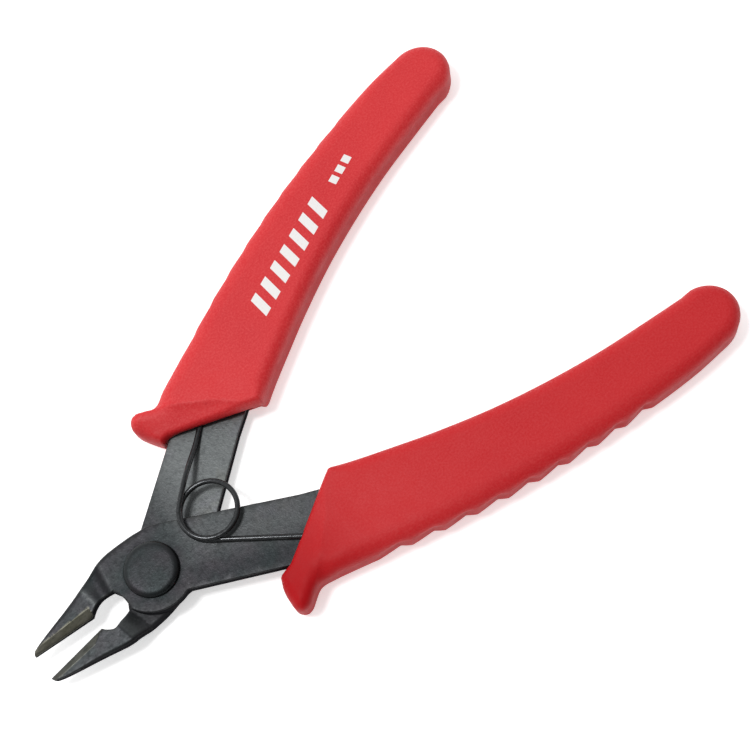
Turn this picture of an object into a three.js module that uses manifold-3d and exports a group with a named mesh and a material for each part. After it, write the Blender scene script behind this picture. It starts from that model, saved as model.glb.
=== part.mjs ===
// Flush cutter: two stamped steel arms on a flat-headed rivet, a single-wire torsion spring between the
// handles and a moulded grip on each handle.
//
// Millimetres. +X runs along the tool towards the handles, +Y towards the back arm's handle, +Z towards
// the front. The origin is on the pivot axis, on the flat rear face of the rivet. The tool is drawn as the
// spring holds it, open. Handles are drawn in (x, h), where h is the distance from the X axis, which is
// midway between them; jaws are drawn in (x, h) from the line on which their edges meet.

import * as THREE from 'three';
import { mergeVertices } from 'three/addons/utils/BufferGeometryUtils.js';
import Module from 'manifold-3d';

// ---- driving dimensions -------------------------------------------------------------------------------

const RAD = Math.PI / 180;
const JAW_LEAN = 3.65;           // degrees that the line between the jaws leans from the X axis
const JAW_OFFSET = -0.7;         // where that line passes the pivot
const HALF_OPENING = 5.5;        // degrees from the jaws' middle line to each cutting edge

const PLATE = 2;                 // stamped plate thickness
const RUNNING_GAP = 0.05;        // between pieces that slide on each other
const REAR_HEAD = 0.75;          // rivet head heights
const FRONT_HEAD = 1.2;
const BACK_Z = REAR_HEAD + RUNNING_GAP;
const FRONT_Z = BACK_Z + PLATE + RUNNING_GAP;
const FRONT_TOP = FRONT_Z + PLATE;

const FRONT_DISC_R = 7.25;       // round of each plate about the pivot
const BACK_DISC_R = 6.75;
const SHANK_R = 2.5;
const HOLE_R = 2.56;
const REAR_HEAD_R = 4.1;
const FRONT_HEAD_R = 4.85;
const REAR_RIM = new THREE.Vector2(0.5, 0.5);      // chamfers on the heads, width and height
const FRONT_RIM = new THREE.Vector2(0.9, 0.6);

const TANG_ANGLE = 31.8;         // degrees, from +X
const TANG_INNER_ROOT = 7.8;     // tang edges, measured square to the tang from the pivot
const TANG_INNER = 7.05;
const TANG_OUTER = 4.75;
const TANG_STRAIGHT = 27;        // length of the straight stretch
const TANG_END_X = 91.8;
const TANG_END_INNER = 33;       // heights of the corners at the tang's end
const TANG_END_OUTER = 36.4;

const TIP_X = -24;
const EDGE_END_X = -12.6;        // heel of the cutting edge
const EDGE_CLEAR = 0.02;         // left between the closed edges
const BEVEL_WIDTH = 1.45;
const BEVEL_RUNOUT = 0.6;        // how far the grinding runs past the edge and its ends
const EDGE_LAND = 1.3;           // height of the flat that the bevel leaves at the cutting edge
const JAW_TOP = 4.6;             // jaw faces at the heel and at the tip
const JAW_BOTTOM = 2.6;
const TIP_TOP = 4.3;
const TIP_BOTTOM = 3;
const THROAT_X = -6.7;
const BACK_JOGGLE = [-7.8, -10.4];   // where each jaw leaves its plate and where it is level again
const FRONT_JOGGLE = [-7.5, -10.8];

const GRIP_BOTTOM = -0.8;
const GRIP_TOP = 7;
const GRIP_ROUND = 2.2;          // height and width of the rounding on the grip's rims
const GRIP_INSET = 1;
const POCKET_GAP = 0.35;         // round the tang inside the grip
const NOTCHES = 9;
const NOTCH_START_X = 32.8;
const NOTCH_PITCH_X = 5.75;
const NOTCH_DEPTH = 0.8;
const NOTCH_TOP = 6.0;
const NOTCH_RAMP = 4;            // length of the ramp in and of the steep wall out
const NOTCH_WALL = 1.7;

const WIRE_R = 0.475;
const COIL = new THREE.Vector2(13.75, 0.55);
const COIL_R = 5.1;
const COIL_START = 128;          // degrees, where the back arm's leg meets the coil
const COIL_END = 587;            // degrees, where the front arm's leg leaves it
const LEG = 27;                  // each straight leg of the spring

const STEEL = { color: 0x33373a, roughness: 0.45, metalness: 0.75 };
const RED = { color: 0xd2232a, roughness: 0.55, metalness: 0 };

// ---- helpers ------------------------------------------------------------------------------------------

const wasm = await Module();
wasm.setup();

function solid(geometry) {
  const bare = geometry.index ? geometry.toNonIndexed() : geometry.clone();
  bare.deleteAttribute('normal');
  bare.deleteAttribute('uv');
  const merged = mergeVertices(bare, 1e-4);
  return new wasm.Manifold(new wasm.Mesh({
    numProp: 3,
    vertProperties: new Float32Array(merged.attributes.position.array),
    triVerts: new Uint32Array(merged.index.array),
  }));
}

function namedMesh(name, body, look) {
  const { vertProperties, triVerts } = body.getMesh();
  const geometry = new THREE.BufferGeometry();
  geometry.setAttribute('position', new THREE.BufferAttribute(vertProperties, 3));
  geometry.setIndex(new THREE.BufferAttribute(triVerts, 1));
  geometry.computeVertexNormals();
  const mesh = new THREE.Mesh(geometry, new THREE.MeshStandardMaterial(look));
  mesh.name = name;
  return mesh;
}

// side is 1 for the back arm's handle and -1 for the front arm's handle
const place = (points, side) => points.map(([x, h]) => new THREE.Vector2(x, side * h));

// side is 1 for the front arm's jaw and -1 for the back arm's jaw
const PIVOT = new THREE.Vector2(0, 0);
const placeJaw = (points, side) => points.map(
  ([x, h]) => new THREE.Vector2(x, JAW_OFFSET + side * h).rotateAround(PIVOT, -JAW_LEAN * RAD),
);

// rise and inset are the height and the width of the rounding on both rims
function slab(outline, low, high, rise = 0, inset = 0) {
  const points = THREE.ShapeUtils.isClockWise(outline) ? [...outline].reverse() : outline;
  const geometry = new THREE.ExtrudeGeometry(new THREE.Shape(points), {
    depth: high - low - 2 * rise,
    bevelEnabled: rise > 0,
    bevelThickness: rise,
    bevelSize: inset,
    bevelOffset: -inset,
    bevelSegments: 4,
  });
  geometry.translate(0, 0, low + rise);
  return solid(geometry);
}

function disc(radius, low, high, segments = 64) {
  const geometry = new THREE.CylinderGeometry(radius, radius, high - low, segments);
  geometry.rotateX(Math.PI / 2);
  geometry.translate(0, 0, (low + high) / 2);
  return solid(geometry);
}

// a slab whose outline is drawn in (x, z) and which runs across the whole tool in y
function sideSlab(profile) {
  const width = 4 * FRONT_DISC_R;
  const shape = new THREE.Shape(profile.map(([x, z]) => new THREE.Vector2(x, z)));
  const geometry = new THREE.ExtrudeGeometry(shape, { depth: width, bevelEnabled: false });
  geometry.rotateX(Math.PI / 2);
  geometry.translate(0, width / 2, 0);
  return solid(geometry);
}

function spline(points, count) {
  const curve = new THREE.CatmullRomCurve3(points.map(([x, h]) => new THREE.Vector3(x, h, 0)));
  return curve.getSpacedPoints(count).map((p) => [p.x, p.y]);
}

function arc(x, h, xRadius, hRadius, from, to, count) {
  return Array.from({ length: count + 1 }, (_, i) => {
    const angle = (from + (to - from) * i / count) * RAD;
    return [x + xRadius * Math.cos(angle), h + hRadius * Math.sin(angle)];
  });
}

// ---- steel arms ---------------------------------------------------------------------------------------

const along = [Math.cos(TANG_ANGLE * RAD), Math.sin(TANG_ANGLE * RAD)];
const tangPoint = (distance, offset) => [
  distance * along[0] - offset * along[1],
  distance * along[1] + offset * along[0],
];

const ROOT_START = 1.2;          // where the tang's inner edge leaves the head
const rootInside = tangPoint(-1, -0.9 * TANG_INNER_ROOT);

// the handle's plate: straight from the pivot, then curved inside the grip; margin widens it for the pocket
function tangOutline(margin = 0) {
  const inner = spline([
    tangPoint(TANG_STRAIGHT, -TANG_INNER), [38, 14.6], [50, 20], [60, 23.8], [70, 27], [80, 29.6], [90, 31.8],
  ], 14);
  const outer = spline([
    [90, 37.6], [80, 36.2], [70, 34.3], [60, 31.9], [50, 28.9], [40, 25.4], [31, 21.8],
    tangPoint(TANG_STRAIGHT, TANG_OUTER),
  ], 14);
  return [
    rootInside,
    tangPoint(ROOT_START, -TANG_INNER_ROOT),
    ...inner.map(([x, h]) => [x + margin * along[1], h - margin]),
    [TANG_END_X + margin, TANG_END_INNER],
    [TANG_END_X + margin, TANG_END_OUTER],
    ...outer.map(([x, h]) => [x - margin * along[1] / 2, h + margin]),
    tangPoint(0, TANG_OUTER + margin),
  ];
}

const edgeSlope = Math.tan(HALF_OPENING * RAD);
const edgePoint = (x) => [x, -x * edgeSlope + EDGE_CLEAR];

// outer edges run from the root to the tip, inner ones from the heel of the cutting edge to the throat
const frontOuter = [
  [3.6, 7.55], [2.25, 7.75], [0.7, 8.05], [-1.3, 8.25], [-3.4, 8.36], [-5, 8.35], [-7.5, 7.9],
  [-10.4, 6.85], [-13.4, 5.9], [-22.2, 3.55], [-23.4, 3.15],
];
const backOuter = [
  [4.45, 5.65], [1.2, 5.75], [-0.4, 6.1], [-2.8, 6.5], [-5.6, 6.65], [-8.4, 6.75], [-9.7, 6.85],
  [-11.1, 6.65], [-22.2, 3.8], [-23.4, 3.35],
];
const frontInner = [[-12.1, 1.65], [-11, 2.3], [-9.8, 2.6], [-8.5, 2.5], [-7.4, 2.25]];
const backInner = [[-12.1, 1.95], [-10.7, 2.55], [-9.4, 2.35], [-8.2, 1.7], [-7.1, 1.05]];

const jawOutline = (outer, inner) => [
  [0, 0],
  ...outer,
  [TIP_X + 0.1, 2.8],
  edgePoint(TIP_X),
  edgePoint(EDGE_END_X),
  ...inner,
  [THROAT_X, 0],
];

const throatOutline = [
  [THROAT_X, 0.95], [-7.4, 2.25], [-8.5, 2.5], [-8.5, -1.75], [-7.1, -1.05], [THROAT_X, -0.4],
];

// side view of a jaw that leaves its plate at `level` and reaches the common jaw level between two x
const jawProfile = (level, start, end) => [
  [1, level + PLATE],
  [start, level + PLATE],
  [end, JAW_TOP],
  [TIP_X - 1, TIP_TOP],
  [TIP_X - 1, TIP_BOTTOM],
  [end, JAW_BOTTOM],
  [start, level],
  [1, level],
];

// a prism with its section drawn in (u, v), running both ways from `middle`; u lies in the tool's plane
function prism(section, uAngle, length, middle) {
  const shape = new THREE.Shape(section.map(([u, v]) => new THREE.Vector2(u, v)));
  const geometry = new THREE.ExtrudeGeometry(shape, { depth: length, bevelEnabled: false });
  geometry.translate(0, 0, -length / 2);
  geometry.applyMatrix4(new THREE.Matrix4().makeBasis(
    new THREE.Vector3(Math.cos(uAngle), Math.sin(uAngle), 0),
    new THREE.Vector3(0, 0, 1),
    new THREE.Vector3(Math.sin(uAngle), -Math.cos(uAngle), 0),
  ));
  geometry.translate(middle.x, middle.y, 0);
  return solid(geometry);
}

// the front faces are ground down to the cutting edges; the rear faces stay flush
function bevelCut(side) {
  const [middle] = placeJaw([edgePoint((TIP_X + EDGE_END_X) / 2)], -side);
  const length = EDGE_END_X - TIP_X + 2 * BEVEL_RUNOUT;
  const angle = side * (HALF_OPENING - 90) - JAW_LEAN;
  return prism([
    [-BEVEL_RUNOUT, JAW_BOTTOM + EDGE_LAND],
    [0, JAW_BOTTOM + EDGE_LAND],
    [BEVEL_WIDTH, JAW_TOP],
    [BEVEL_WIDTH, GRIP_TOP],
    [-BEVEL_RUNOUT, GRIP_TOP],
  ], angle * RAD, length, middle);
}

function steelArm(side, level, discR, jawShape, joggle) {
  const jaw = slab(placeJaw(jawShape, -side), 0, GRIP_TOP)
    .intersect(sideSlab(jawProfile(level, ...joggle)))
    .subtract(bevelCut(side));
  const round = disc(discR, level, level + PLATE, 96)
    .subtract(slab(placeJaw(throatOutline, 1), 0, GRIP_TOP));
  return slab(place(tangOutline(), side), level, level + PLATE)
    .add(round)
    .add(jaw)
    .subtract(disc(HOLE_R, 0, GRIP_TOP));
}

// ---- rivet --------------------------------------------------------------------------------------------

function rivet() {
  const top = FRONT_TOP + RUNNING_GAP + FRONT_HEAD;
  const profile = [
    [0, 0],
    [REAR_HEAD_R - REAR_RIM.x, 0],
    [REAR_HEAD_R, REAR_RIM.y],
    [REAR_HEAD_R, REAR_HEAD],
    [SHANK_R, REAR_HEAD],
    [SHANK_R, FRONT_TOP + RUNNING_GAP],
    [FRONT_HEAD_R, FRONT_TOP + RUNNING_GAP],
    [FRONT_HEAD_R, top - FRONT_RIM.y],
    [FRONT_HEAD_R - FRONT_RIM.x, top],
    [0, top],
  ].map(([r, z]) => new THREE.Vector2(r, z));
  const geometry = new THREE.LatheGeometry(profile, 64);
  geometry.rotateX(Math.PI / 2);
  return solid(geometry);
}

// ---- torsion spring -----------------------------------------------------------------------------------

const restOn = (level) => level + RUNNING_GAP + WIRE_R;
const LOW_TURN = restOn(FRONT_TOP);
const HIGH_TURN = LOW_TURN + 2 * WIRE_R + RUNNING_GAP;

// a point on the straight leg that touches the coil at `angle`; distance is measured from the coil
function legPoint(angle, distance, direction, z) {
  const a = angle * RAD;
  return new THREE.Vector3(
    COIL.x + COIL_R * Math.cos(a) - direction * distance * Math.sin(a),
    COIL.y + COIL_R * Math.sin(a) + direction * distance * Math.cos(a),
    z,
  );
}

const backLeg = (distance, z) => legPoint(COIL_START, distance, -1, z);
const frontLeg = (distance) => legPoint(COIL_END, distance, 1, LOW_TURN);

// the front turn stays high until it is past the back leg's crossing, then comes down to the front plate
function coilHeight(angle) {
  const t = THREE.MathUtils.smoothstep(angle, COIL_START + 190, COIL_START + 350);
  return THREE.MathUtils.lerp(HIGH_TURN, LOW_TURN, t);
}

function spring() {
  const tangTop = restOn(BACK_Z + PLATE);
  const points = [
    backLeg(LEG, tangTop),
    backLeg(LEG * 0.75, tangTop),
    backLeg(LEG * 0.52, tangTop),
    backLeg(LEG * 0.44, tangTop + 0.3),
    backLeg(LEG * 0.2, HIGH_TURN - 0.3),
    backLeg(LEG * 0.1, HIGH_TURN),
  ];
  const steps = 32;
  for (let i = 0; i <= steps; i += 1) {
    const angle = COIL_START + (COIL_END - COIL_START) * i / steps;
    points.push(legPoint(angle, 0, 1, coilHeight(angle)));
  }
  for (const part of [0.1, 0.5, 1]) {
    points.push(frontLeg(LEG * part));
  }
  const section = new THREE.Shape();
  section.absarc(0, 0, WIRE_R, 0, 2 * Math.PI);
  return solid(new THREE.ExtrudeGeometry(section, {
    extrudePath: new THREE.CatmullRomCurve3(points, false, 'centripetal'),
    steps: 110,
    curveSegments: 5,
    bevelEnabled: false,
  }));
}

// ---- grips --------------------------------------------------------------------------------------------

const outerEdge = spline([
  [97.6, 41], [90, 40.7], [80, 39.45], [70, 37.7], [60, 35.5], [50, 32.75], [40, 29.5], [30, 25.75],
  [22, 22.75],
], 40);

const innerEdge = spline([
  [33.2, 8.5], [38, 11], [44, 13.9], [50, 16.7], [60, 20.8], [70, 24.1], [80, 26.75], [90, 28.75],
  [97, 30.05],
], 24);

// the finger guards, from the grip's outer edge round the nose to the mouth's outer corner
const backGuard = spline([
  [19, 21.7], [17.4, 22.4], [15.9, 23.1], [14.7, 23], [13.8, 22.1], [13.8, 20.4], [14.7, 18.2], [15.8, 16.1],
], 14);
const frontGuard = spline([
  [18.6, 21.9], [16.6, 22.7], [15, 23.5], [13.8, 23.5], [12.9, 22.5], [13, 20.6], [13.6, 18.3], [14.7, 16.4],
], 14);

const gripOutline = (guard) => [
  [17.4, 15.95],
  [31.6, 9.2],
  ...innerEdge,
  ...arc(97.6, 35.5, 6.1, 5.5, -75, 82, 14),
  ...outerEdge,
  ...guard,
];

function outerH(x) {
  const i = outerEdge.findIndex((point) => point[0] <= x);
  const [[x0, h0], [x1, h1]] = [outerEdge[i - 1], outerEdge[i]];
  return h0 + (h1 - h0) * (x - x0) / (x1 - x0);
}

// a finger notch: a long ramp in and a short steep wall out
function notch(index, side) {
  const x = NOTCH_START_X + NOTCH_PITCH_X * index;
  const start = x - NOTCH_RAMP;
  const end = x + NOTCH_WALL;
  const corners = [
    [start, outerH(start)],
    [x, outerH(x) - NOTCH_DEPTH],
    [end, outerH(end)],
    [end, outerH(end) + 1],
    [start, outerH(start) + 1],
  ];
  return slab(place(corners, side), GRIP_BOTTOM - 1, NOTCH_TOP);
}

// room for the spring's leg beside the tang
function legSlot(start, end, low, high) {
  const across = new THREE.Vector2(start.y - end.y, end.x - start.x).setLength(WIRE_R + POCKET_GAP);
  return slab([
    new THREE.Vector2(start.x - across.x, start.y - across.y),
    new THREE.Vector2(end.x - across.x, end.y - across.y),
    new THREE.Vector2(end.x + across.x, end.y + across.y),
    new THREE.Vector2(start.x + across.x, start.y + across.y),
  ], low, high);
}

function grip(side, level, guard, leg) {
  const tangTop = level + PLATE;
  let body = slab(place(gripOutline(guard), side), GRIP_BOTTOM, GRIP_TOP, GRIP_ROUND, GRIP_INSET)
    .subtract(slab(place(tangOutline(POCKET_GAP), side), level - POCKET_GAP, tangTop + POCKET_GAP))
    .subtract(legSlot(leg(LEG * 0.4), leg(LEG + 1), tangTop, restOn(tangTop) + WIRE_R + POCKET_GAP));
  for (let i = 0; i < NOTCHES; i += 1) {
    body = body.subtract(notch(i, side));
  }
  return body;
}

// ---- assembly -----------------------------------------------------------------------------------------

const backArm = steelArm(1, BACK_Z, BACK_DISC_R, jawOutline(backOuter, backInner), BACK_JOGGLE);
const frontArm = steelArm(-1, FRONT_Z, FRONT_DISC_R, jawOutline(frontOuter, frontInner), FRONT_JOGGLE);

const cutter = new THREE.Group();
cutter.add(
  namedMesh('back_blade_arm', backArm, STEEL),
  namedMesh('front_blade_arm', frontArm, STEEL),
  namedMesh('pivot_rivet', rivet(), STEEL),
  namedMesh('torsion_spring', spring(), STEEL),
  namedMesh('back_grip', grip(1, BACK_Z, backGuard, (d) => backLeg(d, 0)), RED),
  namedMesh('front_grip', grip(-1, FRONT_Z, frontGuard, frontLeg), RED),
);

export default cutter;
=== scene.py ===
import math
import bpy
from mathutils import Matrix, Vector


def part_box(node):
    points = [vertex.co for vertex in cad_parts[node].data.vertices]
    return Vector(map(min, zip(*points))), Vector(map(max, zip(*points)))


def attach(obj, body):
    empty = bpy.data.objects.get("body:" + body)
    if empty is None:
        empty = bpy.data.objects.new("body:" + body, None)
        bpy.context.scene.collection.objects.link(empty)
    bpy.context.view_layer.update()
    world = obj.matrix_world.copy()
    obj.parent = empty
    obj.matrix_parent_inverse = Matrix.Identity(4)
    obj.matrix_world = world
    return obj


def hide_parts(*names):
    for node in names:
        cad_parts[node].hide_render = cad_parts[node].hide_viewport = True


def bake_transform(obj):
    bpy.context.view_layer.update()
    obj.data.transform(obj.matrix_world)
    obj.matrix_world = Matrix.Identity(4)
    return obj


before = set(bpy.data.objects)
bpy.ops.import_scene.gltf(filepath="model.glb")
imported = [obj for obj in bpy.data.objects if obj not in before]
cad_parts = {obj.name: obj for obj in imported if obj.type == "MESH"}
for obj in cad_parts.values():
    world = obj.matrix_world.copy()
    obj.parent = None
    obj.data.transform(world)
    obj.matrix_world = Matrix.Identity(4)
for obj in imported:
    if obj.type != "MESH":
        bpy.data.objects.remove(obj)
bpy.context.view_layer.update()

from types import SimpleNamespace

import bpy
import numpy as np
from mathutils import Matrix, Vector
from mathutils.geometry import delaunay_2d_cdt

# Flush cutter. Shapes are worked out in millimetres in the frame's axes and written in metres.
# +X runs along the tool to the handles, +Y to the back arm's handle, +Z to the front.
# The back arm has the handle at +Y and the jaw at -Y, and the front arm the other two.

MM = 0.001


def levels(node):
    """The lowest and highest z of a CAD node, in millimetres."""
    low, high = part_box(node)
    return low.z / MM, high.z / MM


# ---- sizes -----------------------------------------------

PLATE = 2.0  # how thick the arms' plates are
BACK_Z, JAW_TOP = levels("back_blade_arm")
JAW_BOTTOM, FRONT_TOP = levels("front_blade_arm")
FRONT_Z = FRONT_TOP - PLATE
HEAD_TOP = levels("pivot_rivet")[1]
GRIP_BOTTOM, GRIP_TOP = levels("back_grip")
RUNNING_GAP = 0.05

JAW_LEAN = math.radians(3.65)  # the jaws' line against the X axis
JAW_OFFSET = -0.7  # and its y at the pivot
EDGE_ANGLE = math.radians(5.5)  # a cutting edge against the jaws' line, with the jaws open
EDGE_CLEAR = 0.02
EDGE_LAND = 1.3  # upright face below the ground bevel
TIP_X = -24.0
EDGE_END_X = -12.6  # where the cutting edge ends and the throat begins
TIP_TOP = 4.3
TIP_BOTTOM = 3.0
BEVEL_HEEL = 1.55
BEVEL_TIP = 0.95
HEEL_RUN = 0.3  # how far the bevel runs on past the edge's end
HEEL_CLIMB = 8.0  # and how steeply it climbs out there
HEEL_END = 1.0
HEEL_POINT = 0.3  # the back arm's bevel is this wide at its heel,
HEEL_TAPER = 0.45  # and widens by this much for each millimetre towards the tip
JAW_DEEPEST = 9.0
BEND_SOFTNESS = 0.4
FRONT_DISC_R = 7.25
BACK_DISC_R = 6.75
HOLE_R = 2.56
HOLE_SIDES = 48

TANG_ANGLE = math.radians(31.8)
TANG_ROOT = 7.8
TANG_INNER = 7.05
TANG_OUTER = 4.75
TANG_STRAIGHT = 27.0
TANG_END_X = 91.8
STEEL_RIM = 0.2
OUTER_ROUND = 0.7  # the jaws' outer edges, rounder than the rest

HEAD_R = 4.85
FLAT_R = 3.45  # the flat on top of the rivet's head
REAR_HEAD_R = 4.1
REAR_HEAD_TOP = 0.76
REAR_ROUND = 0.5
SHANK_R = 2.5

WIRE_R = 0.475
COIL_X, COIL_Y = 13.75, 0.55
COIL_R = 5.1
COIL_START = 128.0  # in degrees; the wire turns from here to the next
COIL_END = 587.0
LEG = 27.0

GRIP_RIM = 2.3
OUTER_RIM = 3.2
GRIP_RISE = 2.2
LIP_RIM = 1.0
POCKET_GAP = 0.35

# ---- outlines, in (x, h): h is the distance from the X axis for a handle, or from the jaws' line

TANG_INSIDE = [(38, 14.6), (50, 20), (60, 23.8), (70, 27), (80, 29.6), (90, 31.8)]
TANG_OUTSIDE = [(31, 21.8), (40, 25.4), (50, 28.9), (60, 31.9), (70, 34.3), (80, 36.2), (90, 37.6)]
FRONT_OUTER = [
    (3.6, 7.55), (2.25, 7.75), (0.7, 8.05), (-1.3, 8.25), (-3.4, 8.36), (-5, 8.35), (-7.5, 7.9),
    (-10.4, 6.85), (-13.4, 5.9), (-22.2, 3.55), (-23.4, 3.15),
]
BACK_OUTER = [
    (4.45, 5.65), (1.2, 5.75), (-0.4, 6.1), (-2.8, 6.5), (-5.6, 6.65), (-8.4, 6.75), (-9.7, 6.85),
    (-11.1, 6.65), (-22.2, 3.8), (-23.4, 3.35),
]
FRONT_INNER = [(-12.1, 1.65), (-11, 2.3), (-9.8, 2.6), (-8.5, 2.5), (-7.4, 2.25)]
BACK_INNER = [(-12.1, 2.0), (-10.9, 2.85), (-10.3, 2.85), (-9.2, 2.4), (-8.2, 2.0), (-7.3, 1.55)]
FRONT_THROAT = [(-6.75, 1.0), (-6.5, -0.1), (-6.3, -1.2), (-6.6, -1.75)]
BACK_THROAT = [(-6.7, -0.4), (-6.7, 0.95)]

GRIP_OUTER = [
    (97.6, 41), (90, 40.7), (80, 39.45), (70, 37.7), (60, 35.5), (50, 32.75), (40, 29.5),
    (30, 25.75), (22, 22.75),
]
GRIP_INNER = [
    (33.2, 8.5), (38, 11), (44, 13.9), (50, 16.7), (60, 20.8), (70, 24.1), (80, 26.75),
    (90, 28.75), (97, 30.05),
]
BACK_GUARD = [
    (19, 21.7), (17.4, 22.4), (15.9, 23.1), (14.7, 23), (13.8, 22.1), (13.8, 20.4), (14.7, 18.2),
    (15.8, 16.1),
]
FRONT_GUARD = [
    (18.6, 21.9), (16.6, 22.7), (15, 23.5), (13.8, 23.5), (12.9, 22.5), (13, 20.6), (13.6, 18.3),
    (14.7, 16.4),
]
MOUTH = [(17.4, 15.95), (31.6, 9.2)]
END_MIDDLE = (97.6, 35.5)
END_RADII = (6.1, 5.5)


# ---- curves in the plane ---------------------------------

def resample(points, step):
    """The same line in even steps of about the given length."""
    points = np.asarray(points, float)
    lengths = np.r_[0, np.cumsum(np.linalg.norm(np.diff(points, axis=0), axis=1))]
    places = np.linspace(0, lengths[-1], max(2, round(lengths[-1] / step) + 1))
    return np.column_stack([np.interp(places, lengths, column) for column in points.T])


def spline(points, step):
    """A centripetal Catmull-Rom curve through the points, resampled evenly."""
    p = np.asarray(points, float)
    p = np.vstack([2 * p[0] - p[1], p, 2 * p[-1] - p[-2]])
    curve = []
    for a, b, c, d in zip(p, p[1:], p[2:], p[3:]):
        tb = math.sqrt(np.linalg.norm(b - a))
        tc = tb + math.sqrt(np.linalg.norm(c - b))
        td = tc + math.sqrt(np.linalg.norm(d - c))
        t = np.linspace(tb, tc, 24, endpoint=False)[:, None]
        ab = (tb - t) / tb * a + t / tb * b
        bc = (tc - t) / (tc - tb) * b + (t - tb) / (tc - tb) * c
        cd = (td - t) / (td - tc) * c + (t - tc) / (td - tc) * d
        abc = (tc - t) / tc * ab + t / tc * bc
        bcd = (td - t) / (td - tb) * bc + (t - tb) / (td - tb) * cd
        curve.append((tc - t) / (tc - tb) * abc + (t - tb) / (tc - tb) * bcd)
    curve.append(p[-2:-1])
    return resample(np.concatenate(curve), step)


def join(*pieces):
    """One closed loop from runs of points, without doubled points."""
    points = np.concatenate([np.asarray(piece, float) for piece in pieces])
    gaps = np.linalg.norm(points - np.roll(points, 1, axis=0), axis=1)
    return points[gaps > 0.02]


def counter_clockwise(loop):
    x, y = loop.T
    area = np.sum(x * np.roll(y, -1) - np.roll(x, -1) * y)
    return loop if area > 0 else loop[::-1]


def outward(loop):
    """Unit normals of a counter-clockwise loop."""
    ahead = np.roll(loop, -1, axis=0) - loop
    ahead /= np.linalg.norm(ahead, axis=1)[:, None]
    along = ahead + np.roll(ahead, 1, axis=0)
    along /= np.maximum(np.linalg.norm(along, axis=1), 0.3)[:, None]
    return np.column_stack([along[:, 1], -along[:, 0]])


def nearest(points, loop):
    """Distance from each point to a closed loop, and the index of the loop's nearest point."""
    reach = np.roll(loop, -1, axis=0) - loop
    square = np.sum(reach ** 2, axis=1)
    distance = np.empty(len(points))
    index = np.empty(len(points), int)
    for low in range(0, len(points), 1000):
        part = slice(low, low + 1000)
        offset = points[part, None] - loop
        t = np.clip(np.sum(offset * reach, axis=2) / square, 0, 1)
        gap = np.linalg.norm(offset - t[..., None] * reach, axis=2)
        best = np.argmin(gap, axis=1)
        rows = np.arange(len(best))
        distance[part] = gap[rows, best]
        index[part] = np.where(t[rows, best] > 0.5, (best + 1) % len(loop), best)
    return distance, index


def gap_to(points, line):
    """Distance from each point to the nearest point of a line."""
    return np.min(np.linalg.norm(points[:, None] - line, axis=2), axis=1)


def inside(points, loop):
    x, y = points[:, :1], points[:, 1:]
    x0, y0 = loop.T
    x1, y1 = np.roll(loop, -1, axis=0).T
    crosses = (y0 > y) != (y1 > y)
    rise = np.where(y1 == y0, 1, y1 - y0)
    return np.sum(crosses & (x < x0 + (y - y0) / rise * (x1 - x0)), axis=1) % 2 == 1


def lattice(loop, step, low_x=-math.inf, high_x=math.inf):
    """Points of a triangular lattice over a loop's box."""
    low, high = loop.min(axis=0), loop.max(axis=0)
    rows = np.arange(low[1], high[1], step * 0.866)
    points = [
        (x + (row % 2) * step / 2, y)
        for row, y in enumerate(rows)
        for x in np.arange(max(low[0], low_x), min(high[0], high_x), step)
    ]
    return np.array(points)


def ease(value, low, high):
    """From 0 at low to 1 at high, with soft ends."""
    t = np.clip((value - low) / (high - low), 0, 1)
    return t * t * (3 - 2 * t)


def circle(sides):
    """Cosine and sine of even steps round a circle."""
    angles = np.arange(sides) * 2 * math.pi / sides
    return np.column_stack([np.cos(angles), np.sin(angles)])


def smooth_round(values, reach):
    """A running mean along a closed loop, over `reach` points each way."""
    width = 2 * reach + 1
    around = np.r_[values[-reach:], values, values[:reach]]
    return np.convolve(around, np.ones(width) / width, "valid")


# ---- meshes ----------------------------------------------

def paint(piece, name, values):
    """A value for each point of the mesh, which the materials read."""
    layer = piece.data.attributes.new(name, "FLOAT", "POINT")
    layer.data.foreach_set("value", np.asarray(values, float))


def new_piece(name, points, faces, sharp_angle=35.0):
    mesh = bpy.data.meshes.new(name)
    mesh.from_pydata((np.asarray(points) * MM).tolist(), [], faces)
    mesh.shade_smooth()
    mesh.set_sharp_from_angle(angle=math.radians(sharp_angle))
    mesh.validate()
    piece = bpy.data.objects.new(name, mesh)
    bpy.context.collection.objects.link(piece)
    return piece


RING_OWN = 0.93  # a ring's point is dropped if another stretch of the outline is nearer than this
SPOT_CLEAR = 0.1  # how far the lattice keeps from the rounded rim
LINE_CLEAR = 0.12  # how far other points keep from a drawn line
LINE_MARGIN = 0.03  # a drawn line stops this far from the outline
HOLE_CLEAR = 1.04  # the hole's clear zone, times its size
WEAR_REACH = 0.25  # how far from an edge the steel is worn


def cap_points(loop, rim, rings, spots, hole, lines):
    """The loose points of a cap: rings at shares of the rim's width, and spots inside them."""
    normal = outward(loop)
    groups = [spots]
    for share in rings:
        points = loop - normal * (rim * share)[:, None]
        distance, _ = nearest(points, loop)
        groups.append(points[(distance > RING_OWN * rim * share) & inside(points, loop)])
    points = np.concatenate(groups)
    distance, index = nearest(points, loop)
    keep = inside(points, loop)
    count = len(spots)
    keep[:count] &= distance[:count] > rim[index[:count]] * 1.02 + SPOT_CLEAR
    if hole is not None:
        keep &= ~inside(points, hole * HOLE_CLEAR)
    for line in lines:
        keep &= gap_to(points, line) > LINE_CLEAR
    return points[keep]


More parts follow.
